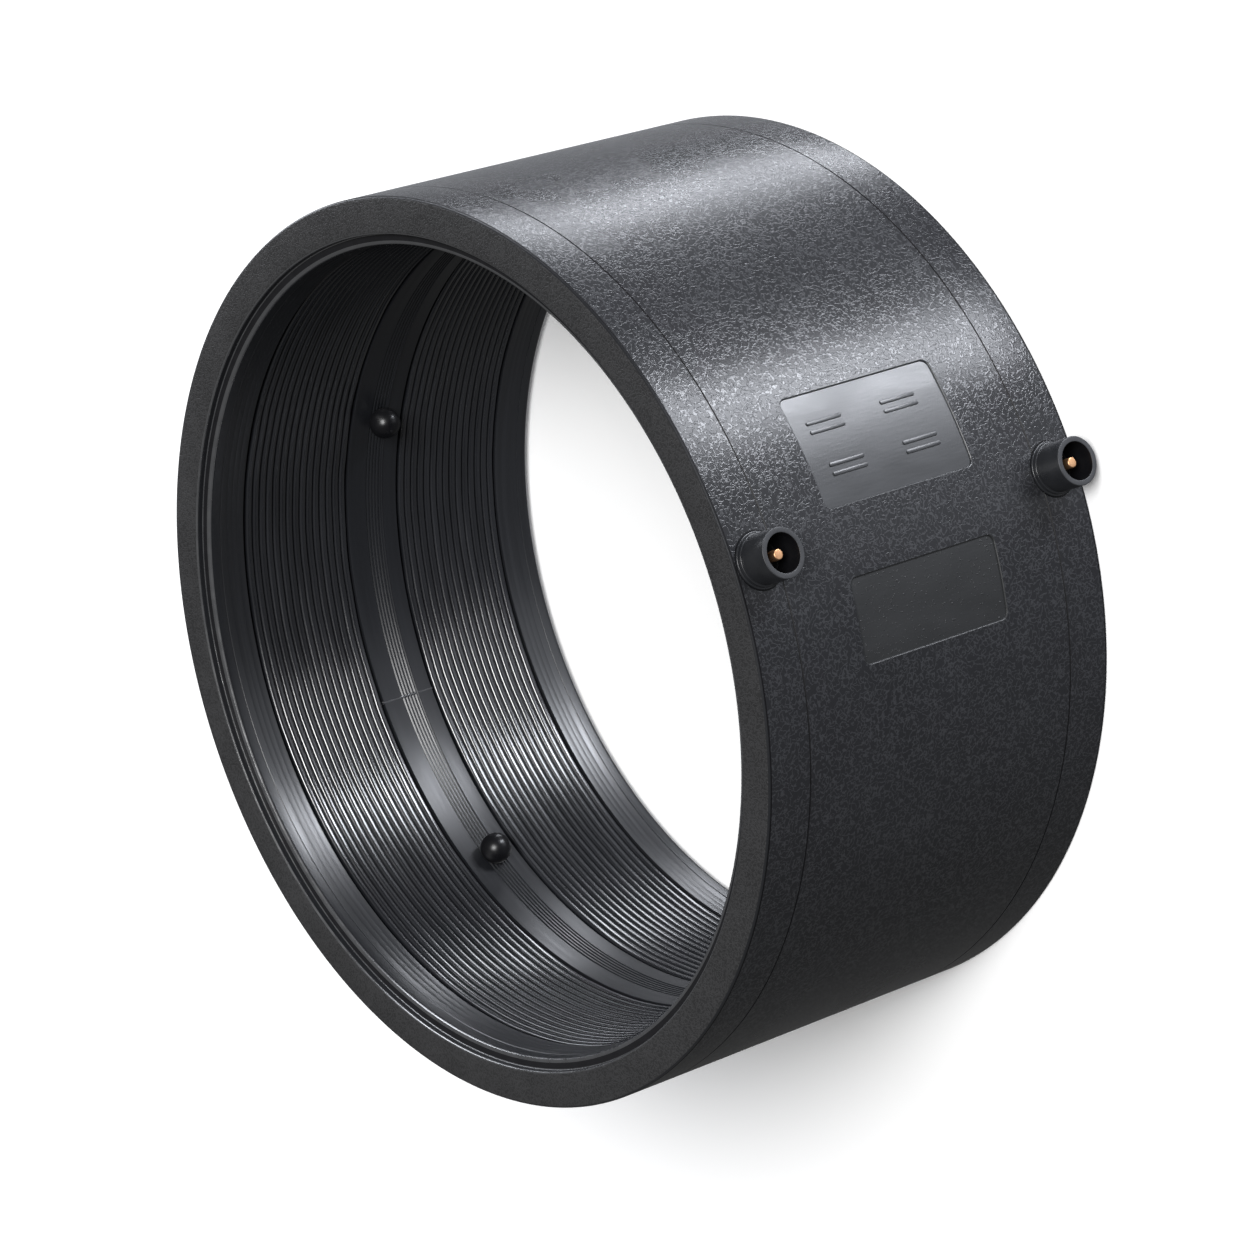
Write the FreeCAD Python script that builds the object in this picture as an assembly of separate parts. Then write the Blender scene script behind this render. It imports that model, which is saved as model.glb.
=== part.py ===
import FreeCAD, Part
import math
import os
from FreeCAD import Vector

# Electrofusion coupler for a 315 mm polyethylene pipe, standing on its rear end.
# Z is the bore's axis, the rear end face is at Z = 0, and +X runs out through the terminals.
# All sizes are millimetres and degrees.

# Bore and wall
bore_diameter = 318.0  # the pipe's outside at its largest, and a sliding gap
sleeve_wall = 19.0
cold_length = 20.0  # plain bore between an end face and the nearest turn
centre_length = 25.2  # plain bore between the two fusion zones
end_chamfer = 1.2  # outer edge of each end face
mouth_step = 4.5  # how much wider than the bore the recess in an end face is
mouth_recess_depth = 3.0
mouth_lip = 1.1  # chamfer between the recess's floor and the bore

# Heating coil, one coated wire wound side by side in each fusion zone
turn_count = 15  # in each zone
turn_pitch = 3.56
coil_thickness = 3.2
ridge_height = 1.0  # from the valley between two turns up to their crests
crest_gap = 0.1  # the crests lie this far outside the bore
coil_clearance = 0.05  # between the coil and its groove in the sleeve
lead_diameter = 1.8
lead_clearance = 0.2
link_angle = 183.0  # where the wire crosses the centre from zone to zone
link_width = 2.4
link_thickness = 2.2

# Terminals, one near each end
terminal_inset = 12.5  # from the end face to the terminal's axis
seat_depth = 0.4  # flat cut for the shroud's flange
seat_margin = 0.4  # flat left round the flange
shroud_height = 14.4  # above its seat
shroud_diameter = 18.8
shroud_bore = 14.6
shroud_rim_edge = 0.5  # chamfers of the mouth's rim
shroud_floor = 1.5  # above the seat
flange_diameter = 21.2
flange_thickness = 1.1
collar_diameter = 19.9
collar_thickness = 1.3
plug_diameter = 14.0  # the shroud's root, which is pushed into the sleeve
plug_depth = 7.5
plug_clearance = 0.05
pin_diameter = 4.0
pin_recess = 2.9  # from the rim down to the pin's end
pin_edge = 0.4
pin_root_diameter = 4.6  # where the pin passes through the shroud's floor
pin_root_rise = 0.2  # the root's end stands this far above the floor
pin_clearance = 0.03
shoulder_diameter = 7.0  # holds the pin under the shroud's root
shoulder_thickness = 1.5
shoulder_clearance = 0.05
joint_floor = 4.0  # wall left between the bore and the cavity where lead and pin meet
joint_diameter = 6.0
tail_diameter = 3.0  # the pin's inner end
tail_length = 2.0
tail_gap = 0.05  # between the pin's tail and the lead

# Centre stops, ball-headed pegs that the two pipe ends meet
stop_count = 5
stop_first_angle = -5.0
stop_ball_diameter = 12.8
stop_sink = 1.0  # part of the ball that lies in the wall
stop_shank_diameter = 6.0
stop_shank_length = 7.5
stop_clearance = 0.05

# Sunk fields on the outside, either side of the terminals' line
field_depth = 0.7
field_corner = 3.0
marking_angle = 10.2
marking_width = 43.2
marking_length = 73.4
label_angle = -10.3
label_width = 31.8
label_length = 71.6

bore_radius = bore_diameter / 2
outer_radius = bore_radius + sleeve_wall
zone_length = turn_count * turn_pitch
coupler_length = 2 * (cold_length + zone_length) + centre_length
middle = coupler_length / 2
crest_radius = bore_radius + crest_gap
coil_radius = crest_radius + coil_thickness
groove_radius = coil_radius + coil_clearance
seat_x = outer_radius - seat_depth
joint_x = bore_radius + joint_floor
centre = Vector(0, 0, 0)
up = Vector(0, 0, 1)
outward = Vector(1, 0, 0)


def faceOf(points):
    """A flat face inside the closed outline that joins the points."""
    return Part.Face(Part.makePolygon(points + [points[0]]))


def turnedRing(outline):
    """A ring about the bore's axis. The outline is a list of (radius, height)."""
    face = faceOf([Vector(radius, 0, height) for radius, height in outline])
    return face.revolve(centre, up, 360)


def turnedPeg(outline):
    """A round piece about the X axis. The outline is a list of (distance, radius)."""
    face = faceOf([Vector(distance, 0, radius) for distance, radius in outline])
    return face.revolve(centre, outward, 360)


def cylinderX(radius, start, end):
    """A cylinder along the X axis from start to end."""
    return Part.makeCylinder(radius, end - start, Vector(start, 0, 0), outward)


def ringBetween(inner, outer, low, high):
    """A plain ring about the bore's axis."""
    return turnedRing([(inner, low), (outer, low), (outer, high), (inner, high)])


def turnedBy(shape, angle):
    """A copy of the shape turned about the bore's axis."""
    copy = shape.copy()
    copy.rotate(centre, up, angle)
    return copy


def mirrored(shape):
    """The shape's mirror image in the plane halfway up the coupler."""
    return shape.mirror(Vector(0, 0, middle), up)


def bothEnds(frontShape):
    """The front end's shape and its image at the rear end."""
    return [frontShape, mirrored(frontShape)]


def sleeveBody():
    """The turned sleeve, with a groove for each winding."""
    top = coupler_length
    recess_floor = top - mouth_recess_depth
    front_half = [
        (bore_radius, middle + centre_length / 2),
        (groove_radius, middle + centre_length / 2),
        (groove_radius, top - cold_length),
        (bore_radius, top - cold_length),
        (bore_radius, recess_floor - mouth_lip),
        (bore_radius + mouth_lip, recess_floor),
        (bore_radius + mouth_step, recess_floor),
        (bore_radius + mouth_step, top),
        (outer_radius - end_chamfer, top),
        (outer_radius, top - end_chamfer),
    ]
    rear_half = [(radius, top - height) for radius, height in reversed(front_half)]
    return turnedRing(front_half + rear_half)


def fieldCutter(angle, width, length):
    """What sinks a field with rounded corners into the outer wall."""
    deepest = outer_radius - 2 * sleeve_wall / 3
    block = Part.makeBox(
        sleeve_wall,
        width,
        length,
        Vector(deepest, -width / 2, middle - length / 2),
    )
    corners = [edge for edge in block.Edges if abs(edge.tangentAt(0).dot(outward)) > 0.9]
    block = block.makeFillet(field_corner, corners)
    skin = ringBetween(
        outer_radius - field_depth,
        outer_radius + sleeve_wall,
        middle - length,
        middle + length,
    )
    return turnedBy(block.common(skin), angle)


def stopSocket():
    """The hole that a centre stop is pushed into, on the X axis."""
    sunk = 2 * math.sqrt(stop_sink * (stop_ball_diameter - stop_sink))
    shank_end = bore_radius + stop_sink + stop_shank_length
    hole = cylinderX(stop_shank_diameter / 2 + stop_clearance, bore_radius - stop_sink, shank_end)
    rim = cylinderX(
        max(sunk, stop_shank_diameter) / 2 + 2 * stop_clearance,
        bore_radius - stop_sink,
        bore_radius + stop_sink + stop_clearance,
    )
    return hole.fuse(rim)


def stopPeg():
    """A centre stop on the X axis: a ball on a plain shank."""
    ball_radius = stop_ball_diameter / 2
    shank_radius = stop_shank_diameter / 2
    ball_x = bore_radius + stop_sink - ball_radius
    neck_x = ball_x + math.sqrt(ball_radius**2 - shank_radius**2)
    end_x = bore_radius + stop_sink + stop_shank_length - stop_clearance
    tip = Vector(ball_x - ball_radius, 0, 0)
    side = Vector(ball_x, 0, ball_radius)
    neck = Vector(neck_x, 0, shank_radius)
    end_edge = Vector(end_x, 0, shank_radius)
    end = Vector(end_x, 0, 0)
    edges = [
        Part.Arc(tip, side, neck).toShape(),
        Part.makeLine(neck, end_edge),
        Part.makeLine(end_edge, end),
        Part.makeLine(end, tip),
    ]
    return Part.Face(Part.Wire(edges)).revolve(centre, outward, 360)


def aroundCentre(shape):
    """The shape, made for the X axis, at every stop's place."""
    shape.translate(Vector(0, 0, middle))
    step = 360 / stop_count
    return [turnedBy(shape, stop_first_angle + n * step) for n in range(stop_count)]


def terminalSocket():
    """The front terminal's seat, hole and cavity, cut into the sleeve on the X axis."""
    seat = cylinderX(flange_diameter / 2 + seat_margin, seat_x, outer_radius + seat_depth)
    hole = cylinderX(plug_diameter / 2 + plug_clearance, seat_x - plug_depth, outer_radius)
    cavity = cylinderX(joint_diameter / 2, joint_x, seat_x)
    return seat.fuse([hole, cavity])


def leadPath(radius):
    """A round wire from the first front turn to the pin, bent in the cavity."""
    start = Vector((crest_radius + coil_radius) / 2, 0, coupler_length - cold_length - turn_pitch / 2)
    bend = Vector(joint_x + joint_diameter / 4, 0, coupler_length - terminal_inset)
    slope = bend - start
    wire = Part.makeCylinder(radius, slope.Length, start, slope)
    elbow = Part.makeSphere(radius, bend)
    return wire.fuse(elbow)


def leadEnd():
    """The lead's last stretch, up to the pin's tail."""
    bend_x = joint_x + joint_diameter / 4
    end = cylinderX(lead_diameter / 2, bend_x, tailX() - tail_gap)
    end.translate(Vector(0, 0, coupler_length - terminal_inset))
    return end


def tailX():
    """Where the pin's tail ends, inside the cavity."""
    return seat_x - plug_depth - tail_length


def linkStrap(inner, outer, width, low, high):
    """The strip of wire that crosses the centre, or its groove."""
    reach = 2 * outer
    block = Part.makeBox(reach, width, high - low, Vector(0, -width / 2, low))
    return turnedBy(block.common(ringBetween(inner, outer, low, high)), link_angle)


def sleeve():
    """The moulded sleeve with all its cuts."""
    link_low = middle - centre_length / 2 - turn_pitch / 4
    link_high = middle + centre_length / 2 + turn_pitch / 4
    cuts = [
        fieldCutter(marking_angle, marking_width, marking_length),
        fieldCutter(label_angle, label_width, label_length),
        linkStrap(
            bore_radius - crest_gap,
            crest_radius + link_thickness + coil_clearance,
            link_width + 2 * coil_clearance,
            link_low,
            link_high,
        ),
    ]
    socket = terminalSocket()
    socket.translate(Vector(0, 0, coupler_length - terminal_inset))
    cuts += bothEnds(socket)
    cuts += bothEnds(leadPath(lead_diameter / 2 + lead_clearance))
    cuts += aroundCentre(stopSocket())
    return sleeveBody().cut(cuts)


def winding():
    """The front zone's turns, side by side, as one ridged ring."""
    low = middle + centre_length / 2 + coil_clearance
    high = coupler_length - cold_length - coil_clearance
    pitch = (high - low) / turn_count
    outline = [(coil_radius, low)]
    for n in range(turn_count):
        outline.append((crest_radius, low + (n + 0.5) * pitch))
        if n < turn_count - 1:
            outline.append((crest_radius + ridge_height, low + (n + 1) * pitch))
    outline.append((coil_radius, high))
    return turnedRing(outline)


def heatingCoil():
    """Both windings, the link between them and the leads, as one wire."""
    reach = centre_length / 2 + turn_pitch / 2
    link = linkStrap(
        crest_radius,
        crest_radius + link_thickness,
        link_width,
        middle - reach,
        middle + reach,
    )
    lead = leadPath(lead_diameter / 2).fuse(leadEnd())
    pieces = bothEnds(winding()) + bothEnds(lead) + [link]
    return pieces[0].fuse(pieces[1:]).removeSplitter()


def frontShroud():
    """The socket-shaped guard round the front pin, with its root in the sleeve."""
    body = shroud_diameter / 2
    hollow = shroud_bore / 2
    edge = shroud_rim_edge
    root = plug_diameter / 2
    pin_hole = pin_root_diameter / 2 + pin_clearance
    shoulder = shoulder_diameter / 2 + shoulder_clearance
    bottom = seat_x - plug_depth + plug_clearance
    counterbore = bottom + shoulder_thickness + shoulder_clearance
    rim = seat_x + shroud_height
    shroud = turnedPeg(
        [
            (bottom, shoulder),
            (bottom, root),
            (seat_x, root),
            (seat_x, flange_diameter / 2),
            (seat_x + flange_thickness, flange_diameter / 2),
            (seat_x + flange_thickness, collar_diameter / 2),
            (seat_x + flange_thickness + collar_thickness, collar_diameter / 2),
            (seat_x + flange_thickness + collar_thickness, body),
            (rim - edge, body),
            (rim, body - edge),
            (rim, hollow + edge),
            (rim - edge, hollow),
            (seat_x + shroud_floor, hollow),
            (seat_x + shroud_floor, pin_hole),
            (counterbore, pin_hole),
            (counterbore, shoulder),
        ]
    )
    shroud.translate(Vector(0, 0, coupler_length - terminal_inset))
    return shroud


def frontPin():
    """The front terminal's contact pin, with its shoulder and tail."""
    radius = pin_diameter / 2
    root_end = seat_x + shroud_floor + pin_root_rise
    shoulder_x = seat_x - plug_depth + plug_clearance
    end_x = seat_x + shroud_height - pin_recess
    pin = turnedPeg(
        [
            (tailX(), 0),
            (tailX(), tail_diameter / 2),
            (shoulder_x, tail_diameter / 2),
            (shoulder_x, shoulder_diameter / 2),
            (shoulder_x + shoulder_thickness, shoulder_diameter / 2),
            (shoulder_x + shoulder_thickness, pin_root_diameter / 2),
            (root_end, pin_root_diameter / 2),
            (root_end, radius),
            (end_x - pin_edge, radius),
            (end_x, radius - pin_edge),
            (end_x, 0),
        ]
    )
    pin.translate(Vector(0, 0, coupler_length - terminal_inset))
    return pin


def centreStops():
    """All the centre stops, as separate solids in one group."""
    return Part.makeCompound(aroundCentre(stopPeg()))


def main():
    """Writes one STEP file per piece."""
    front_shroud, rear_shroud = bothEnds(frontShroud())
    front_pin, rear_pin = bothEnds(frontPin())
    pieces = {
        "sleeve": sleeve(),
        "heating_coil": heatingCoil(),
        "front_terminal_shroud": front_shroud,
        "rear_terminal_shroud": rear_shroud,
        "front_terminal_pin": front_pin,
        "rear_terminal_pin": rear_pin,
        "centre_stops": centreStops(),
    }
    os.makedirs("parts", exist_ok=True)
    for name, shape in pieces.items():
        shape.exportStep("parts/" + name + ".step")
        print(name, len(shape.Solids), "solids", len(shape.Faces), "faces", round(shape.Volume), "mm3")


main()
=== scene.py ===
import math
import bmesh
import bpy
from mathutils import Matrix, Vector


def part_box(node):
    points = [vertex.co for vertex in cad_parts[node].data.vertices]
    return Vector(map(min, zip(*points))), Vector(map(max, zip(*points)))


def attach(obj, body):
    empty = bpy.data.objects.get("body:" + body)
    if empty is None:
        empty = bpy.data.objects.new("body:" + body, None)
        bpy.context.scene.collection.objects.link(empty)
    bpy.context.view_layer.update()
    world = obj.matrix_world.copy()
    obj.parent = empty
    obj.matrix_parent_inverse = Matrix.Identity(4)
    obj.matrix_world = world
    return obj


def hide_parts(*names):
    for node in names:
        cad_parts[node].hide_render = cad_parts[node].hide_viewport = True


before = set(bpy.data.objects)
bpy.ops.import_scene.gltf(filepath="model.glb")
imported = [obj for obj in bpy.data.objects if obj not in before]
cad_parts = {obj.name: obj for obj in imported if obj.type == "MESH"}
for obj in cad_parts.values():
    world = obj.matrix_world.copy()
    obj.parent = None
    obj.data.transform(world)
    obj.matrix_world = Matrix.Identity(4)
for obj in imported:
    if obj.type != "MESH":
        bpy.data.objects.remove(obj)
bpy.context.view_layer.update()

# Electrofusion coupler on its rear end. Lengths in the dictionaries are millimetres, apart from those of the
# table, lamps and camera, which are metres. Angles are degrees. Z is the bore's axis, the rear face is at 0
# and +X runs out through the terminals.

mm = 0.001
mergeGap = 0.003 * mm  # points nearer than this become one
facing = 0.9  # how much of a normal lies along X where a face counts as facing that way
print("coupler: frame loaded")


# Hands: picking, tracing and turning

def holdOnly(piece):
    if bpy.context.mode != "OBJECT":
        bpy.ops.object.mode_set(mode="OBJECT")
    bpy.ops.object.select_all(action="DESELECT")
    piece.select_set(True)
    bpy.context.view_layer.objects.active = piece


def startEdit(piece):
    holdOnly(piece)
    bpy.ops.object.mode_set(mode="EDIT")


def endEdit():
    bpy.ops.object.mode_set(mode="OBJECT")


def pick(piece, kind, test):
    bpy.ops.mesh.select_mode(type=kind)
    bpy.ops.mesh.select_all(action="DESELECT")
    shape = bmesh.from_edit_mesh(piece.data)
    shape.normal_update()
    group = {"EDGE": shape.edges, "FACE": shape.faces}[kind]
    for part in group:
        if test(part):
            part.select_set(True)
    shape.select_flush_mode()
    bmesh.update_edit_mesh(piece.data)


def runsOut(edge):
    return abs((edge.verts[0].co - edge.verts[1].co).x) > 0.1 * mm


def facesOut(face):
    return face.normal.x > facing


def facesIn(face):
    return face.normal.x < -facing


def soften(outline, steps=4):
    # corners given as (across, along, rounding) become short curves
    points = []
    for n, corner in enumerate(outline):
        here = Vector(corner[:2])
        if len(corner) < 3 or corner[2] == 0:
            points.append(here)
            continue
        before = Vector(outline[n - 1][:2])
        after = Vector(outline[(n + 1) % len(outline)][:2])
        start = here + (before - here).normalized() * corner[2]
        end = here + (after - here).normalized() * corner[2]
        for k in range(steps + 1):
            t = k / steps
            points.append(start * (1 - t) ** 2 + here * 2 * t * (1 - t) + end * t * t)
    return points


def traceOutline(name, points):
    # a small plane is merged to one point, which is pulled round the closed outline
    bpy.ops.object.select_all(action="DESELECT")
    bpy.ops.mesh.primitive_plane_add(size=mm, location=points[0])
    piece = bpy.context.object
    piece.name = piece.data.name = name
    bpy.ops.object.transform_apply()
    bpy.ops.object.mode_set(mode="EDIT")
    bpy.ops.mesh.select_mode(type="VERT")
    bpy.ops.mesh.select_all(action="SELECT")
    bpy.ops.mesh.merge(type="CENTER")
    for here, there in zip(points, points[1:] + points[:1]):
        bpy.ops.mesh.extrude_region_move(TRANSFORM_OT_translate={"value": there - here})
    bpy.ops.mesh.select_all(action="SELECT")
    bpy.ops.mesh.remove_doubles(threshold=mergeGap)
    return piece


def turnOutline(piece, axis, centre, steps):
    bpy.ops.mesh.select_all(action="SELECT")
    bpy.ops.mesh.spin(steps=steps, angle=2 * math.pi, center=centre, axis=axis)
    bpy.ops.mesh.select_all(action="SELECT")
    bpy.ops.mesh.remove_doubles(threshold=mergeGap)
    bpy.ops.mesh.normals_make_consistent(inside=False)
    endEdit()


def turnRing(name, outline, steps):
    # outline is a list of (radius, height[, rounding])
    points = [Vector((p[0], 0, p[1])) * mm for p in soften(outline)]
    piece = traceOutline(name, points)
    turnOutline(piece, (0, 0, 1), (0, 0, 0), steps)
    return piece


def turnPeg(name, outline, height, steps):
    # outline is a list of (distance along X, radius[, rounding]), turned about X at that height
    points = [Vector((p[0], 0, height + p[1])) * mm for p in soften(outline)]
    piece = traceOutline(name, points)
    turnOutline(piece, (1, 0, 0), (0, 0, height * mm), steps)
    return piece


def smooth(piece, angle):
    holdOnly(piece)
    bpy.ops.object.shade_smooth_by_angle(angle=math.radians(angle))


def cutAway(piece, cutter):
    holdOnly(piece)
    cut = piece.modifiers.new("cut", "BOOLEAN")
    cut.operation = "DIFFERENCE"
    cut.solver = "EXACT"
    cut.object = cutter
    bpy.ops.object.modifier_apply(modifier=cut.name)
    bpy.data.objects.remove(cutter)


def copyOf(piece, name):
    twin = piece.copy()
    twin.data = piece.data.copy()
    twin.name = twin.data.name = name
    bpy.context.scene.collection.objects.link(twin)
    return twin


def joinInto(piece, others):
    holdOnly(piece)
    for other in others:
        other.select_set(True)
    bpy.ops.object.join()


def turnAbout(piece, angle):
    holdOnly(piece)
    piece.rotation_euler = (0, 0, math.radians(angle))
    bpy.ops.object.transform_apply(location=True, rotation=True, scale=True)


def wrapRound(piece, angle):
    # drawn flat with X as the radius and Y as the way round, then laid on the cylinder
    reach = sleeveSizes["outer"] * mm
    for corner in piece.data.vertices:
        turn = math.radians(angle) + corner.co.y / reach
        radius = corner.co.x
        corner.co.x = radius * math.cos(turn)
        corner.co.y = radius * math.sin(turn)


def seatPiece(piece, node):
    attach(piece, "root")
    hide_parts(node)


# Finishes: every pattern reads Object coordinates in metres. Dark and light are colours, gloss is
# roughness, shine is the specular level, and a depth is a bump's height in millimetres.

def newFinish(name):
    finish = bpy.data.materials.new(name)
    finish.use_nodes = True
    tree = finish.node_tree
    shader = tree.nodes["Principled BSDF"]
    place = tree.nodes.new("ShaderNodeTexCoord")
    return finish, tree, shader, place.outputs["Object"]


def addNoise(tree, place, scale=1.0, detail=2.0, stretch=(1, 1, 1), distortion=0.0):
    sized = tree.nodes.new("ShaderNodeMapping")
    sized.inputs["Scale"].default_value = stretch
    noise = tree.nodes.new("ShaderNodeTexNoise")
    noise.inputs["Scale"].default_value = scale
    noise.inputs["Detail"].default_value = detail
    noise.inputs["Distortion"].default_value = distortion
    tree.links.new(place, sized.inputs["Vector"])
    tree.links.new(sized.outputs["Vector"], noise.inputs["Vector"])
    return noise.outputs["Fac"]


def addMath(tree, operation, first, second=0.0):
    node = tree.nodes.new("ShaderNodeMath")
    node.operation = operation
    for socket, value in zip(node.inputs, (first, second)):
        if isinstance(value, (int, float)):
            socket.default_value = value
        else:
            tree.links.new(value, socket)
    return node.outputs["Value"]


def addShares(tree, first, firstShare, second, secondShare):
    firstPart = addMath(tree, "MULTIPLY", first, firstShare)
    secondPart = addMath(tree, "MULTIPLY", second, secondShare)
    return addMath(tree, "ADD", firstPart, secondPart)


def addRange(tree, value, low, high, newLow, newHigh):
    node = tree.nodes.new("ShaderNodeMapRange")
    node.interpolation_type = "SMOOTHSTEP"
    node.inputs["From Min"].default_value = low
    node.inputs["From Max"].default_value = high
    node.inputs["To Min"].default_value = newLow
    node.inputs["To Max"].default_value = newHigh
    tree.links.new(value, node.inputs["Value"])
    return node.outputs["Result"]


def addColour(tree, shader, value, dark, light):
    node = tree.nodes.new("ShaderNodeValToRGB")
    node.color_ramp.elements[0].color = (*dark, 1)
    node.color_ramp.elements[1].color = (*light, 1)
    tree.links.new(value, node.inputs["Fac"])
    tree.links.new(node.outputs["Color"], shader.inputs["Base Color"])


def addGloss(tree, shader, value, low, high):
    # nearly all of a noise lies between 0.3 and 0.7, so the roughness changes over that stretch
    tree.links.new(addRange(tree, value, 0.3, 0.7, low, high), shader.inputs["Roughness"])


def addBump(tree, shader, height, depth):
    bump = tree.nodes.new("ShaderNodeBump")
    bump.inputs["Strength"].default_value = 1.0
    bump.inputs["Distance"].default_value = depth * mm
    tree.links.new(height, bump.inputs["Height"])
    if shader.inputs["Normal"].is_linked:
        tree.links.new(shader.inputs["Normal"].links[0].from_socket, bump.inputs["Normal"])
    tree.links.new(bump.outputs["Normal"], shader.inputs["Normal"])


def wormGrain(tree, place, scale, width):
    # thin raised worms lie where a soft noise passes through its middle value
    noise = addNoise(tree, place, scale, detail=1.5, distortion=0.35)
    away = addMath(tree, "ABSOLUTE", addMath(tree, "SUBTRACT", noise, 0.5))
    return addRange(tree, away, 0.0, width, 1.0, 0.0)


skinLook = {
    "dark": (0.016, 0.0165, 0.0185), "light": (0.052, 0.054, 0.060), "gloss": (0.25, 0.29),
    "grainScale": 500, "grainWidth": 0.07, "grainDepth": 0.034, "grainTone": 0.5,
    "pebbleScale": 1250, "pebbleShare": 0.2, "patchScale": 26, "patchTone": 0.2,
    "hollowShine": 0.25, "crestShine": 0.54, "crestFrom": 0.8,
}


def makeSkin():
    look = skinLook
    finish, tree, shader, place = newFinish("moulded_grain_painted_sheen")
    worms = wormGrain(tree, place, look["grainScale"], look["grainWidth"])
    pebble = addNoise(tree, place, look["pebbleScale"])
    patch = addNoise(tree, place, look["patchScale"], detail=3.0)
    # the raised worms are painted lighter; this is partly the grain and partly a painted highlight where the
    # crests would catch light
    tone = addShares(tree, worms, look["grainTone"], patch, look["patchTone"])
    addColour(tree, shader, tone, look["dark"], look["light"])
    # the hollows between the worms reflect less than the crests, a painted shade in the hollows
    shine = addRange(tree, worms, 0.0, look["crestFrom"], look["hollowShine"], look["crestShine"])
    tree.links.new(shine, shader.inputs["Specular IOR Level"])
    addGloss(tree, shader, patch, *look["gloss"])
    height = addMath(tree, "ADD", worms, addMath(tree, "MULTIPLY", pebble, look["pebbleShare"]))
    addBump(tree, shader, height, look["grainDepth"])
    return finish


faceLook = {
    "dark": (0.013, 0.013, 0.0135), "light": (0.055, 0.055, 0.057), "gloss": 0.5,
    "grainScale": 760, "grainWidth": 0.12, "grainDepth": 0.07, "grainTone": 0.4,
    "patchScale": 60, "patchTone": 0.5,
}


def makeEndFace():
    look = faceLook
    finish, tree, shader, place = newFinish("matt_end")
    worms = wormGrain(tree, place, look["grainScale"], look["grainWidth"])
    patch = addNoise(tree, place, look["patchScale"], detail=3.0)
    tone = addShares(tree, worms, look["grainTone"], patch, look["patchTone"])
    addColour(tree, shader, tone, look["dark"], look["light"])
    shader.inputs["Roughness"].default_value = look["gloss"]
    addBump(tree, shader, worms, look["grainDepth"])
    return finish


turnedLook = {
    "dark": (0.008, 0.0085, 0.010), "light": (0.015, 0.016, 0.019), "gloss": (0.30, 0.36),
    "lineStretch": (7, 7, 1500), "lineTone": 0.5, "lineDepth": 0.008,
    "broadStretch": (14, 14, 420), "broadTone": 0.5,
}


def makeTurned(name, shine):
    look = turnedLook
    finish, tree, shader, place = newFinish(name)
    lines = addNoise(tree, place, stretch=look["lineStretch"])
    broad = addNoise(tree, place, stretch=look["broadStretch"])
    tone = addShares(tree, lines, look["lineTone"], broad, look["broadTone"])
    addColour(tree, shader, tone, look["dark"], look["light"])
    addGloss(tree, shader, broad, *look["gloss"])
    shader.inputs["Specular IOR Level"].default_value = shine
    addBump(tree, shader, lines, look["lineDepth"])
    return finish


coatLook = {
    "dark": (0.007, 0.0075, 0.009), "light": (0.013, 0.014, 0.017), "gloss": (0.20, 0.27), "shine": 1.0,
    "drawnStretch": (110, 110, 60), "drawnDepth": 0.012, "rippleStretch": (24, 24, 520), "rippleDepth": 0.03,
}


def makeCoat():
    look = coatLook
    finish, tree, shader, place = newFinish("coated_wire")
    drawn = addNoise(tree, place, detail=1.0, stretch=look["drawnStretch"])
    ripple = addNoise(tree, place, detail=0.0, stretch=look["rippleStretch"])
    addColour(tree, shader, ripple, look["dark"], look["light"])
    addGloss(tree, shader, ripple, *look["gloss"])
    shader.inputs["Specular IOR Level"].default_value = look["shine"]
    addBump(tree, shader, drawn, look["drawnDepth"])
    addBump(tree, shader, ripple, look["rippleDepth"])
    return finish


fieldLook = {
    "driftStretch": (70, 60, 26), "driftWarp": 0.8, "fineStretch": (500, 900, 160), "fineDepth": 0.03,
    "speckScale": 900, "speckRange": (0.66, 0.74),
}


def makeField(name, dark, light, gloss, cloud, shine, specks):
    # a sunk field's polished floor, clouded by cloud to either side of its gloss
    look = fieldLook
    finish, tree, shader, place = newFinish(name)
    drift = addNoise(tree, place, detail=4.0, stretch=look["driftStretch"], distortion=look["driftWarp"])
    fine = addNoise(tree, place, stretch=look["fineStretch"])
    addColour(tree, shader, drift, dark, light)
    addGloss(tree, shader, drift, gloss - cloud, gloss + cloud)
    shader.inputs["Specular IOR Level"].default_value = shine
    addBump(tree, shader, fine, look["fineDepth"])
    if specks:
        spots = addNoise(tree, place, look["speckScale"], detail=1.0)
        addBump(tree, shader, addRange(tree, spots, *look["speckRange"], 0.0, 1.0), specks)
    return finish


mouldingLook = {"flowScale": 160, "fineScale": 1800, "smoother": 0.04, "rougher": 0.05}


def makeMoulding(name, dark, light, gloss, depth, shine=0.5):
    # smooth injection-moulded plastic with faint flow marks
    look = mouldingLook
    finish, tree, shader, place = newFinish(name)
    flow = addNoise(tree, place, look["flowScale"], detail=3.0)
    fine = addNoise(tree, place, look["fineScale"], detail=1.0)
    addColour(tree, shader, flow, dark, light)
    addGloss(tree, shader, flow, gloss - look["smoother"], gloss + look["rougher"])
    shader.inputs["Specular IOR Level"].default_value = shine
    addBump(tree, shader, fine, depth)
    return finish


lipIndex = 2.2  # the mouth's turned edges are burnished, so they mirror more than moulded plastic


def makeLip():
    finish = makeMoulding("mouth_lip", (0.034, 0.035, 0.038), (0.050, 0.052, 0.057), 0.28, 0.002, 1.0)
    finish.node_tree.nodes["Principled BSDF"].inputs["IOR"].default_value = lipIndex
    return finish


copperLook = {
    "dark": (0.70, 0.36, 0.17), "light": (0.92, 0.58, 0.34), "gloss": 0.46,
    "ringStretch": (5000, 700, 700), "ringDepth": 0.006,
}


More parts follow.
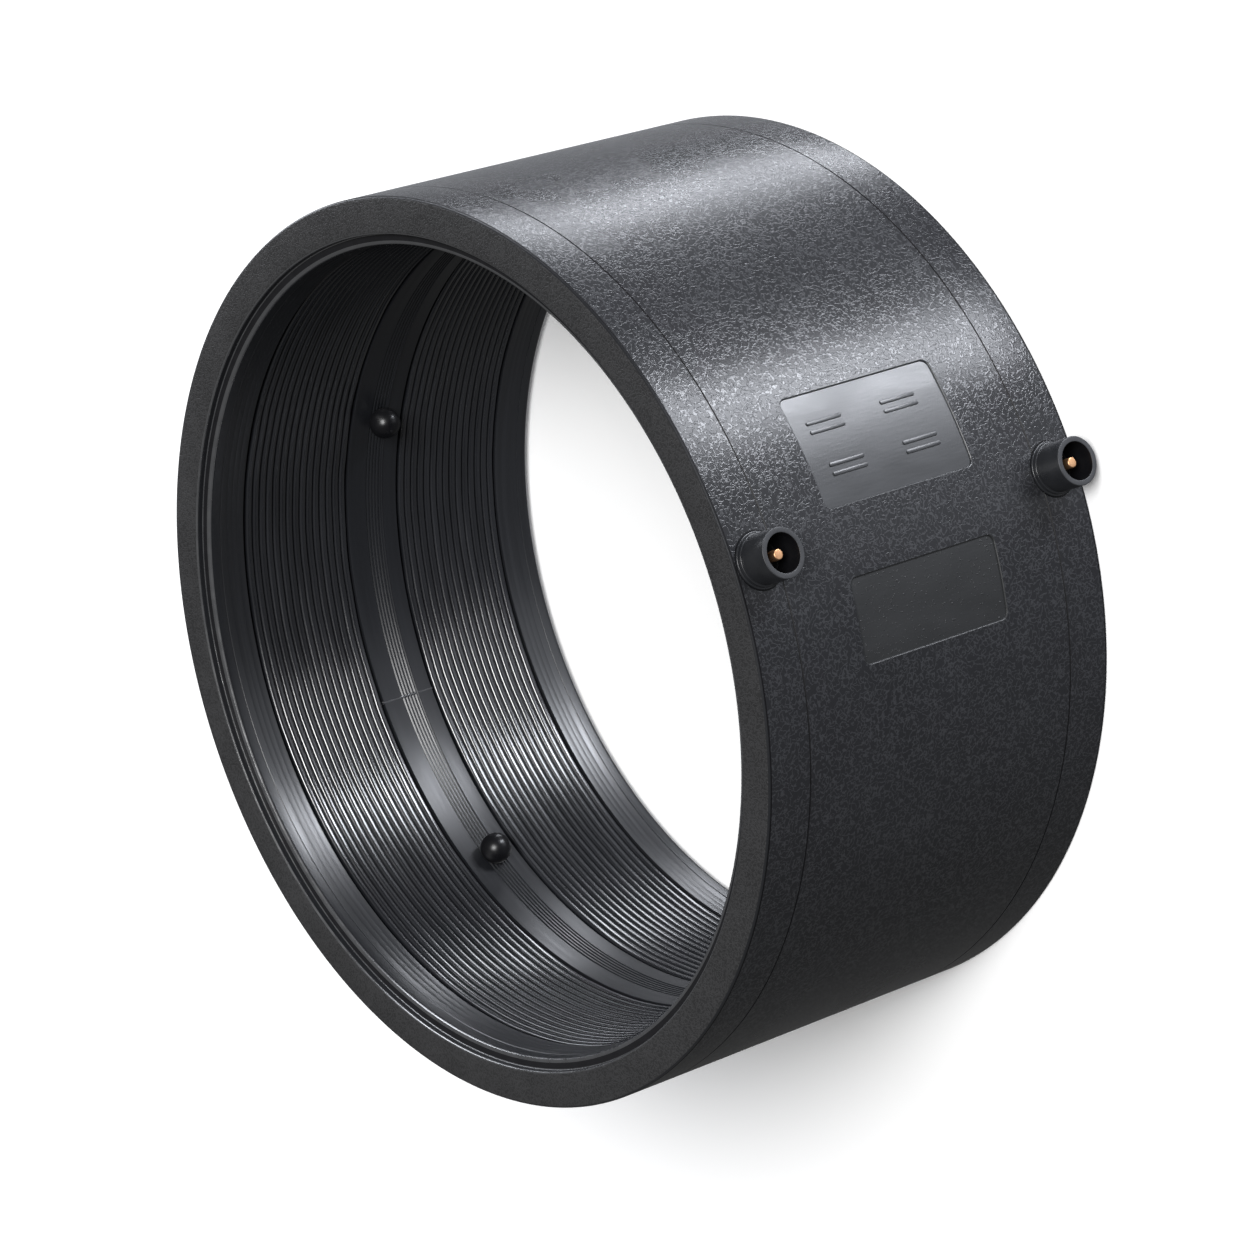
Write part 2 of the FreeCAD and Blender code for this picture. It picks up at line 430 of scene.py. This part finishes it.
def makeCopper():
    look = copperLook
    finish, tree, shader, place = newFinish("bright_copper")
    rings = addNoise(tree, place, stretch=look["ringStretch"])
    addColour(tree, shader, rings, look["dark"], look["light"])
    shader.inputs["Metallic"].default_value = 1.0
    shader.inputs["Roughness"].default_value = look["gloss"]
    addBump(tree, shader, rings, look["ringDepth"])
    return finish


finishes = {
    "skin": makeSkin(),
    "face": makeEndFace(),
    "turned": makeTurned("turned_bore", 0.78),
    "centre": makeTurned("turned_centre", 0.42),
    "coat": makeCoat(),
    "marking": makeField("marking_field", (0.015, 0.016, 0.018), (0.028, 0.030, 0.034), 0.38, 0.04, 0.8, 0),
    "label": makeField("label_field", (0.018, 0.019, 0.020), (0.026, 0.027, 0.029), 0.45, 0.03, 0.5, 0.12),
    # the mouth's shelf is the sleeve's own plastic painted near black, a painted shade in the recess
    "shelf": makeMoulding("mouth_shelf_painted_shade", (0.008, 0.008, 0.009), (0.014, 0.014, 0.016), 0.42, 0.004, 0.3),
    "lip": makeLip(),
    # the score lines and the rings round the terminals' seats are painted near black, a painted shade in these
    # grooves
    "score": makeMoulding("score_line_painted_shade", (0.003, 0.003, 0.004), (0.006, 0.006, 0.007), 0.50, 0.002, 0.2),
    # the shroud's rim is its own plastic painted lighter than the barrel, a painted sheen on the rim's face
    "rim": makeMoulding("shroud_rim_painted_sheen", (0.026, 0.027, 0.030), (0.042, 0.044, 0.049), 0.50, 0.010),
    # the shroud's hollow is its own plastic painted near black, a painted shade inside the socket
    "hollow": makeMoulding("shroud_hollow_painted_shade", (0.003, 0.003, 0.004), (0.006, 0.006, 0.007), 0.40, 0.004, 0.3),
    "shroud": makeMoulding("shroud_plastic", (0.012, 0.013, 0.015), (0.024, 0.025, 0.028), 0.30, 0.006),
    "stop": makeMoulding("stop_plastic", (0.004, 0.004, 0.005), (0.007, 0.007, 0.008), 0.30, 0.002, 0.35),
    "copper": makeCopper(),
}
print("coupler: finishes mixed")


# Sleeve: turned from one section, then cut

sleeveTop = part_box("sleeve")[1]  # rounded to a tenth below, because the CAD mesh has flat facets
sleeveSizes = {
    "outer": round(sleeveTop.y / mm, 1), "length": round(sleeveTop.z / mm, 1), "bore": 159.0, "steps": 360,
    "mouthStep": 4.5, "mouthDepth": 3.0, "mouthLip": 1.7, "mouthEdge": 1.2, "shelfRound": 0.4,
    "endRound": 1.3,
    "zones": ((20.0, 73.4), (98.6, 152.0)), "grooveRadius": 162.35, "grooveEdge": 0.3,
    "outerScores": (20.0, 152.0), "scoreWidth": 0.70, "scoreDepth": 0.35, "outerRows": (46, 66, 86, 106, 126),
    # each line is its height, width and depth, measured from the nearer end
    "mouthLines": ((8.5, 0.5, 0.16), (11.6, 0.3, 0.03), (14.2, 0.3, 0.03), (16.8, 0.3, 0.03)),
    "centreLines": (82.4, 84.0, 85.6, 87.2, 88.8), "centreLine": (0.95, 0.42), "centreBead": (80.9, 0.9, 0.3),
    # each field is its angle round the sleeve, its width round it and its length along it
    "marking": (10.2, 43.2, 73.4), "label": (-10.3, 31.8, 71.6),
    "fieldDepth": 0.65, "fieldCorner": 3.0, "fieldEdge": 0.5, "brinkAngles": (30, 55, 78),
    "seat": 177.6, "seatRadius": 11.0, "seatSteps": 96, "rootHole": 7.05, "rootDepth": 7.6, "inset": 12.5,
    "cutterTop": 1.5, "cutterStrip": 2.0, "cutterClear": 3.0, "smoothAngle": 28,
}


def notch(radius, height, width, depth):
    # a small V in a turned wall; a negative depth cuts away from the bore's axis
    return [(radius, height - width / 2), (radius - depth, height), (radius, height + width / 2)]


def sleeveOutline():
    s = sleeveSizes
    low, high, bore, outer = 0.0, s["length"], s["bore"], s["outer"]
    recess, shelf = bore + s["mouthStep"], s["mouthDepth"]
    mouth = [(recess, low, s["mouthEdge"]), (recess, shelf, s["shelfRound"]), (bore, shelf, s["mouthLip"])]
    inside = list(mouth)
    for height, width, depth in s["mouthLines"]:
        inside += notch(bore, height, width, -depth)
    for zone in s["zones"]:
        if zone[0] > s["length"] / 2:
            inside += notch(bore, *s["centreBead"])
            for height in s["centreLines"]:
                inside += notch(bore, height, s["centreLine"][0], -s["centreLine"][1])
        inside += [(bore, zone[0], s["grooveEdge"]), (s["grooveRadius"], zone[0])]
        inside += [(s["grooveRadius"], zone[1]), (bore, zone[1], s["grooveEdge"])]
    for height, width, depth in reversed(s["mouthLines"]):
        inside += notch(bore, high - height, width, -depth)
    inside += [(radius, high - height, soft) for radius, height, soft in reversed(mouth)]
    outside = [(outer, high, s["endRound"])]
    rows = sorted([(h, True) for h in s["outerScores"]] + [(h, False) for h in s["outerRows"]])
    for height, scored in reversed(rows):
        if scored:
            outside += reversed(notch(outer, height, s["scoreWidth"], s["scoreDepth"]))
        else:
            outside.append((outer, height))
    outside.append((outer, low, s["endRound"]))
    return inside + outside


def fieldCutter(spec):
    # drawn flat: a slab with rounded corners whose upper edge flares, so the sunk field gets a rounded brink
    s = sleeveSizes
    angle, width, length = spec
    floor, brink = s["outer"] - s["fieldDepth"], s["outer"] - s["fieldEdge"]
    bpy.ops.object.select_all(action="DESELECT")
    bpy.ops.mesh.primitive_cube_add(
        size=1,
        location=((floor + brink) / 2 * mm, 0, s["length"] / 2 * mm),
        scale=((brink - floor) * mm, width * mm, length * mm),
    )
    cutter = bpy.context.object
    bpy.ops.object.transform_apply()
    startEdit(cutter)
    pick(cutter, "EDGE", runsOut)
    bpy.ops.mesh.bevel(offset=s["fieldCorner"] * mm, segments=6, affect="EDGES")
    pick(cutter, "FACE", facesOut)
    risen = spread = 0
    for brinkAngle in s["brinkAngles"]:
        rise = s["fieldEdge"] * math.sin(math.radians(brinkAngle))
        out = s["fieldEdge"] * (1 - math.cos(math.radians(brinkAngle)))
        bpy.ops.mesh.extrude_region_move(TRANSFORM_OT_translate={"value": ((rise - risen) * mm, 0, 0)})
        wide = (width + 2 * out) / (width + 2 * spread)
        tall = (length + 2 * out) / (length + 2 * spread)
        bpy.ops.transform.resize(value=(1, wide, tall), center_override=(0, 0, s["length"] / 2 * mm))
        risen, spread = rise, out
    bpy.ops.mesh.extrude_region_move(TRANSFORM_OT_translate={"value": (s["cutterTop"] * mm, 0, 0)})
    strips = int(width / 2 / s["cutterStrip"])
    for n in range(-strips, strips + 1):
        bpy.ops.mesh.select_all(action="SELECT")
        bpy.ops.mesh.bisect(plane_co=(0, n * s["cutterStrip"] * mm, 0), plane_no=(0, 1, 0))
    bpy.ops.mesh.select_all(action="SELECT")
    bpy.ops.mesh.normals_make_consistent(inside=False)
    endEdit()
    wrapRound(cutter, angle)
    return cutter


def seatCutter(height):
    s = sleeveSizes
    deep = s["seat"] - s["rootDepth"]
    out = s["outer"] + s["cutterClear"]
    outline = [
        (deep, 0), (deep, s["rootHole"]), (s["seat"], s["rootHole"]),
        (s["seat"], s["seatRadius"]), (out, s["seatRadius"]), (out, 0),
    ]
    return turnPeg("seat_cutter", outline, height, s["seatSteps"])


markSizes = {
    "length": 17.0, "width": 1.5, "rise": 0.4, "gap": 3.6, "endShare": 0.45, "crown": 0.18,
    "places": ((8.6, 21.0), (8.6, -15.5), (-8.2, 19.0), (-8.2, -17.5)),
}


def raisedMarks():
    # plain paired bars, moulded on the marking field's floor
    m = markSizes
    floor = (sleeveSizes["outer"] - sleeveSizes["fieldDepth"]) * mm
    bpy.ops.object.select_all(action="DESELECT")
    bpy.ops.mesh.primitive_cube_add(
        size=1, location=(floor, 0, 0), scale=(2 * m["rise"] * mm, m["width"] * mm, m["length"] * mm)
    )
    first = bpy.context.object
    bpy.ops.object.transform_apply()
    startEdit(first)
    pick(first, "EDGE", runsOut)
    bpy.ops.mesh.bevel(offset=m["endShare"] * m["width"] * mm, segments=5, affect="EDGES")
    pick(first, "FACE", facesOut)
    bpy.ops.mesh.bevel(offset=m["crown"] * mm, segments=2, affect="EDGES")
    endEdit()
    bars = []
    for across, along in m["places"]:
        for side in (-1, 1):
            bar = copyOf(first, "bar")
            bar.location = (0, (across + side * m["gap"] / 2) * mm, (sleeveSizes["length"] / 2 + along) * mm)
            holdOnly(bar)
            bpy.ops.object.transform_apply()
            bars.append(bar)
    bpy.data.objects.remove(first)
    for bar in bars:
        wrapRound(bar, sleeveSizes["marking"][0])
    return bars


# a tilt is how much of a face's normal lies along the bore's axis
paintSizes = {
    "inwards": -0.25, "boreSlack": 0.5, "recessSlack": 0.1, "centreHalf": 13.0, "endShare": 0.6,
    "wallTilt": 0.15, "shelfTilt": 0.995, "faceTilt": 0.98, "lipReach": 5.0, "sunkFrom": 0.03,
    "fieldSlack": 0.6,
}


def boreFinish(offMiddle, tilt):
    s, p = sleeveSizes, paintSizes
    inMouth = offMiddle > s["length"] / 2 - s["mouthDepth"] - s["mouthLip"]
    if inMouth and tilt >= p["wallTilt"]:
        return "shelf" if tilt > p["shelfTilt"] else "lip"
    return "centre" if offMiddle < p["centreHalf"] else "turned"


def endFinish(radius, tilt):
    s, p = sleeveSizes, paintSizes
    if tilt > p["faceTilt"]:
        return "face"
    return "lip" if radius < s["grooveRadius"] + p["lipReach"] else "turned"


def outsideFinish(at, radius, offMiddle):
    s, p = sleeveSizes, paintSizes
    if radius >= s["outer"] - p["sunkFrom"]:
        return "skin"
    turn = math.degrees(math.atan2(at.y, at.x))
    for name in ("marking", "label"):
        angle, width, length = s[name]
        way = abs(math.radians(turn - angle) * s["outer"])
        if way < width / 2 + p["fieldSlack"] and offMiddle < length / 2 + p["fieldSlack"]:
            return name
    # sunk faces outside the fields, in the score lines and the seats, take the near-black painted shade
    return "score"


def paintSleeve(piece):
    s, p = sleeveSizes, paintSizes
    names = ("skin", "face", "turned", "marking", "label", "shelf", "lip", "score", "centre")
    for name in names:
        piece.data.materials.append(finishes[name])
    for face in piece.data.polygons:
        at = face.center
        radius = math.hypot(at.x, at.y) / mm
        offMiddle = abs(at.z / mm - s["length"] / 2)
        outwards = (face.normal.x * at.x + face.normal.y * at.y) / (radius * mm)
        tilt = abs(face.normal.z)
        byBore = s["bore"] - p["boreSlack"] < radius < s["bore"] + s["mouthStep"] - p["recessSlack"]
        if outwards < p["inwards"] or byBore:
            name = boreFinish(offMiddle, tilt)
        elif offMiddle > s["length"] / 2 - p["endShare"] * s["endRound"]:
            name = endFinish(radius, tilt)
        else:
            name = outsideFinish(at, radius, offMiddle)
        face.material_index = names.index(name)


def makeSleeve():
    s = sleeveSizes
    piece = turnRing("sleeve_body", sleeveOutline(), s["steps"])
    for spec in (s["marking"], s["label"]):
        cutAway(piece, fieldCutter(spec))
    for height in (s["inset"], s["length"] - s["inset"]):
        cutAway(piece, seatCutter(height))
    joinInto(piece, raisedMarks())
    paintSleeve(piece)
    smooth(piece, s["smoothAngle"])
    seatPiece(piece, "sleeve")


makeSleeve()
print("coupler: sleeve turned and cut")


# Heating coil: two zones of rounded turns and the link between them

coilSizes = {
    "turns": 15, "crest": 159.1, "valley": 160.55, "back": 162.3, "endDip": 161.2, "endGaps": (0.8, 1.6),
    "steps": 240,
    # one turn's profile as (share of the pitch, share of the depth)
    "turnShape": (
        (0.0, 1.0), (0.055, 0.68), (0.11, 0.38), (0.18, 0.17), (0.27, 0.05), (0.37, 0.01),
        (0.49, 0.0), (0.61, 0.01), (0.71, 0.05), (0.81, 0.17), (0.89, 0.38), (0.945, 0.68),
    ),
    "linkAngle": 183.0, "linkWidth": 1.5, "linkTop": 158.99, "linkThick": 2.3, "linkOverlap": 0.6,
    "linkRound": 0.5,
    "waver": 0.8, "waverSize": 22.0, "smoothAngle": 50,
}


def windingOutline(low, high):
    c = coilSizes
    start, end = low + c["endGaps"][0], high - c["endGaps"][1]
    pitch = (end - start) / c["turns"]
    deep = c["valley"] - c["crest"]
    outline = [(c["back"], start), (c["endDip"], start)]
    for turn in range(c["turns"]):
        for along, drop in c["turnShape"][1 if turn == 0 else 0:]:
            outline.append((c["crest"] + deep * drop, start + (turn + along) * pitch))
    return outline + [(c["endDip"], end), (c["back"], end)]


def linkBar():
    c = coilSizes
    low = sleeveSizes["zones"][0][1] - c["linkOverlap"]
    high = sleeveSizes["zones"][1][0] + c["linkOverlap"]
    bpy.ops.object.select_all(action="DESELECT")
    bpy.ops.mesh.primitive_cube_add(
        size=1,
        location=((c["linkTop"] + c["linkThick"] / 2) * mm, 0, (low + high) / 2 * mm),
        scale=(c["linkThick"] * mm, c["linkWidth"] * mm, (high - low) * mm),
    )
    bar = bpy.context.object
    bpy.ops.object.transform_apply()
    startEdit(bar)
    pick(bar, "FACE", facesIn)
    bpy.ops.mesh.bevel(offset=c["linkRound"] * mm, segments=4, affect="EDGES")
    endEdit()
    turnAbout(bar, c["linkAngle"])
    return bar


def makeCoil():
    c = coilSizes
    zones = [
        turnRing("winding", windingOutline(low, high), c["steps"]) for low, high in sleeveSizes["zones"]
    ]
    piece = zones[0]
    piece.name = piece.data.name = "fusion_coil"
    joinInto(piece, zones[1:])
    waver = bpy.data.textures.new("waver", "CLOUDS")
    waver.noise_scale = c["waverSize"] * mm
    waver.noise_depth = 2
    push = piece.modifiers.new("waver", "DISPLACE")
    push.texture = waver
    push.texture_coords = "LOCAL"
    push.direction = "Z"
    push.mid_level = 0.5
    push.strength = c["waver"] * mm
    bpy.ops.object.modifier_apply(modifier=push.name)
    joinInto(piece, [linkBar()])
    piece.data.materials.append(finishes["coat"])
    smooth(piece, c["smoothAngle"])
    seatPiece(piece, "heating_coil")


makeCoil()
print("coupler: coil wound")


# Terminals: a shroud and a pin, modelled once and copied to the other end

shroudSizes = {
    "rim": round(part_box("front_terminal_shroud")[1].x / mm, 1), "radius": 9.4, "hollow": 7.3, "floor": 179.1,
    "flange": (10.6, 1.1), "collar": (9.95, 1.3), "collarFoot": 0.15, "neck": 0.25, "neckFoot": 0.5,
    "root": (7.0, 7.5), "pinHole": 2.33, "steps": 96, "rimBand": 0.3, "hollowSlack": 0.1, "smoothAngle": 40,
}
pinSizes = {
    "radius": 2.0, "end": 189.1, "edge": 0.45, "root": (2.3, 179.3), "tail": 168.2, "steps": 64,
    "smoothAngle": 50,
}


def makeShroud(height):
    s = shroudSizes
    seat = sleeveSizes["seat"]
    flangeTop = seat + s["flange"][1]
    collarTop = flangeTop + s["collar"][1]
    bottom = seat - s["root"][1]
    outline = [
        (bottom, s["pinHole"]), (bottom, s["root"][0], 0.4), (seat, s["root"][0]),
        (seat, s["flange"][0], 0.25), (flangeTop, s["flange"][0], 0.45),
        (flangeTop, s["collar"][0] - s["neck"], 0.08), (flangeTop + s["collarFoot"], s["collar"][0], 0.1),
        (collarTop, s["collar"][0], 0.4), (collarTop, s["radius"] - s["neck"], 0.1),
        (collarTop + s["neckFoot"], s["radius"], 0.2), (s["rim"], s["radius"], 0.4),
        (s["rim"], s["hollow"], 0.35), (s["floor"], s["hollow"], 0.6), (s["floor"], s["pinHole"]),
    ]
    piece = turnPeg("terminal_shroud", outline, height, s["steps"])
    for name in ("shroud", "rim", "hollow"):
        piece.data.materials.append(finishes[name])
    # faces inside the hollow take the painted shade and faces at the rim the painted sheen
    for face in piece.data.polygons:
        at = face.center
        fromAxis = math.hypot(at.y, at.z - height * mm)
        aboveFloor = at.x > (s["floor"] - s["hollowSlack"]) * mm
        inShadedHollow = aboveFloor and fromAxis < (s["hollow"] + s["hollowSlack"]) * mm
        face.material_index = 2 if inShadedHollow else 1 if at.x > (s["rim"] - s["rimBand"]) * mm else 0
    smooth(piece, s["smoothAngle"])
    return piece


def makePin(height):
    p = pinSizes
    outline = [
        (p["tail"], 0), (p["tail"], p["root"][0], 0.3), (p["root"][1], p["root"][0], 0.15),
        (p["root"][1], p["radius"]), (p["end"], p["radius"], p["edge"]), (p["end"], 0),
    ]
    piece = turnPeg("terminal_pin", outline, height, p["steps"])
    piece.data.materials.append(finishes["copper"])
    smooth(piece, p["smoothAngle"])
    return piece


def makeTerminals():
    front = sleeveSizes["length"] - sleeveSizes["inset"]
    drop = (2 * sleeveSizes["inset"] - sleeveSizes["length"]) * mm
    for make, slotName, label in ((makeShroud, "shroud_plastic", "shroud"), (makePin, "pin_metal", "pin")):
        first = make(front)
        first.name = first.data.name = "front_socket_" + label
        second = copyOf(first, "rear_socket_" + label)
        second.location = (0, 0, drop)
        holdOnly(second)
        bpy.ops.object.transform_apply()
        seatPiece(first, "front_terminal_" + label)
        seatPiece(second, "rear_terminal_" + label)


makeTerminals()
print("coupler: terminals fitted")


# Centre stops: a ball drawn out into a shank, copied round the middle

stopSizes = {
    "count": 5, "first": -5.0, "ball": 6.4, "centre": 153.6, "segments": 48, "rings": 32,
    "shank": 2.9, "shankFoot": 0.4, "shankEnd": 167.4, "smoothAngle": 40,
}


def makeStops():
    s = stopSizes
    middle = sleeveSizes["length"] / 2 * mm
    bpy.ops.object.select_all(action="DESELECT")
    bpy.ops.mesh.primitive_uv_sphere_add(
        segments=s["segments"], ring_count=s["rings"], radius=s["ball"] * mm,
        rotation=(0, math.radians(90), 0), location=(s["centre"] * mm, 0, middle),
    )
    first = bpy.context.object
    bpy.ops.object.transform_apply()
    startEdit(first)

    def underBall(face):
        at = face.calc_center_median()
        return at.x > s["centre"] * mm and math.hypot(at.y, at.z - middle) < s["shank"] * mm

    pick(first, "FACE", underBall)
    bpy.ops.mesh.extrude_region_move(TRANSFORM_OT_translate={"value": (s["shankFoot"] * mm, 0, 0)})
    bpy.ops.transform.resize(value=(0, 1, 1), center_override=((s["centre"] + s["ball"]) * mm, 0, middle))
    far = s["shankEnd"] - s["centre"] - s["ball"]
    bpy.ops.mesh.extrude_region_move(TRANSFORM_OT_translate={"value": (far * mm, 0, 0)})
    bpy.ops.mesh.select_all(action="SELECT")
    bpy.ops.mesh.normals_make_consistent(inside=False)
    endEdit()
    first.data.materials.append(finishes["stop"])
    smooth(first, s["smoothAngle"])
    stops = []
    for n in range(s["count"]):
        stop = copyOf(first, "stop_peg")
        turnAbout(stop, s["first"] + n * 360 / s["count"])
        stops.append(stop)
    bpy.data.objects.remove(first)
    piece = stops[0]
    piece.name = piece.data.name = "stop_pegs"
    joinInto(piece, stops[1:])
    seatPiece(piece, "centre_stops")


makeStops()
print("coupler: stops pushed in")


# Table, lamps and camera, in metres

stageLook = {"floorSize": 6.0, "floorDrop": 0.0001, "glow": 0.11, "paper": 0.94, "ambient": 0.105}


def makeFloor():
    bpy.ops.object.select_all(action="DESELECT")
    bpy.ops.mesh.primitive_plane_add(size=stageLook["floorSize"], location=(0, 0, -stageLook["floorDrop"]))
    floor = bpy.context.object
    floor.name = floor.data.name = "light_table"
    paper = bpy.data.materials.new("white_paper")
    paper.use_nodes = True
    tree = paper.node_tree
    tree.nodes.remove(tree.nodes["Principled BSDF"])
    lit = tree.nodes.new("ShaderNodeBsdfDiffuse")
    lit.inputs["Color"].default_value = (stageLook["paper"],) * 3 + (1,)
    glow = tree.nodes.new("ShaderNodeEmission")
    glow.inputs["Strength"].default_value = stageLook["glow"]
    both = tree.nodes.new("ShaderNodeAddShader")
    tree.links.new(lit.outputs[0], both.inputs[0])
    tree.links.new(glow.outputs[0], both.inputs[1])
    tree.links.new(both.outputs[0], tree.nodes["Material Output"].inputs["Surface"])
    floor.data.materials.append(paper)
    # the table lets light from below through to the coupler
    floor.visible_shadow = False
    floor.visible_diffuse = False
    floor.visible_glossy = False


def makeSky():
    world = bpy.data.worlds.new("white_room")
    bpy.context.scene.world = world
    world.use_nodes = True
    tree = world.node_tree
    back = tree.nodes["Background"]
    back.inputs["Color"].default_value = (1, 1, 1, 1)
    ray = tree.nodes.new("ShaderNodeLightPath")
    level = tree.nodes.new("ShaderNodeMapRange")
    level.inputs["To Min"].default_value = stageLook["ambient"]
    level.inputs["To Max"].default_value = 1.0
    tree.links.new(ray.outputs["Is Camera Ray"], level.inputs["Value"])
    tree.links.new(level.outputs["Result"], back.inputs["Strength"])


# each softbox: azimuth and elevation from the coupler's middle, distance, width, height, watts
softboxes = {
    "band_top": (101, -31, 1.5, 0.24, 0.85, 7.6),
    "band_side": (35.5, -29, 1.5, 0.30, 0.85, 20.0),
    "band_fill": (68, -31, 1.5, 0.75, 0.85, 0.5),
    "band_back": (146, -40, 1.5, 0.8, 0.9, 0.9),
    "band_low": (4, -37, 1.5, 0.55, 0.9, 1.3),
    "mouth": (118, 12, 1.1, 1.15, 0.4, 8.7),
}
softboxTint = (0.90, 0.93, 1.0)
sunLook = {"azimuth": 15, "elevation": 49, "spread": 27, "strength": 3.7}


def towards(azimuth, elevation):
    a, e = math.radians(azimuth), math.radians(elevation)
    return Vector((math.cos(a) * math.cos(e), math.sin(a) * math.cos(e), math.sin(e)))


def hangLamp(lamp, way):
    # a lamp shines along its own -Z, so its Z is turned away from the coupler
    holder = bpy.data.objects.new(lamp.name, lamp)
    bpy.context.scene.collection.objects.link(holder)
    holder.rotation_euler = way.to_track_quat("Z", "Y").to_euler()
    return holder


def makeLamps():
    middle = Vector((0, 0, sleeveSizes["length"] / 2 * mm))
    for name, (azimuth, elevation, distance, width, height, watts) in softboxes.items():
        lamp = bpy.data.lights.new(name, "AREA")
        lamp.shape = "RECTANGLE"
        lamp.size = width
        lamp.size_y = height
        lamp.energy = watts
        lamp.color = softboxTint
        way = towards(azimuth, elevation)
        holder = hangLamp(lamp, way)
        holder.location = middle + way * distance
        holder.visible_camera = False
    lamp = bpy.data.lights.new("overhead", "SUN")
    lamp.angle = math.radians(sunLook["spread"])
    lamp.energy = sunLook["strength"]
    hangLamp(lamp, towards(sunLook["azimuth"], sunLook["elevation"]))


cameraLook = {
    "place": (1.5154, -0.0062, 1.2529), "aim": (-0.0009, -0.0085, 0.0871), "lens": 140.69, "sensor": 36,
    "nearest": 0.05, "roll": 107.6,
}


def makeCamera():
    look = cameraLook
    place, aim = Vector(look["place"]), Vector(look["aim"])
    ahead = (aim - place).normalized()
    side = ahead.cross(Vector((0, 0, 1))).normalized()
    top = side.cross(ahead)
    roll = math.radians(look["roll"])
    lift = top * math.cos(roll) + side * math.sin(roll)
    right = ahead.cross(lift)
    lens = bpy.data.cameras.new("camera")
    lens.lens = look["lens"]
    lens.sensor_width = look["sensor"]
    lens.clip_start = look["nearest"]
    camera = bpy.data.objects.new("camera", lens)
    bpy.context.scene.collection.objects.link(camera)
    turned = Matrix((right, lift, -ahead)).transposed().to_4x4()
    camera.matrix_world = Matrix.Translation(place) @ turned
    bpy.context.scene.camera = camera


makeFloor()
makeSky()
makeLamps()
makeCamera()
bpy.context.scene.view_settings.view_transform = "Standard"
print("coupler: table, lamps and camera set")
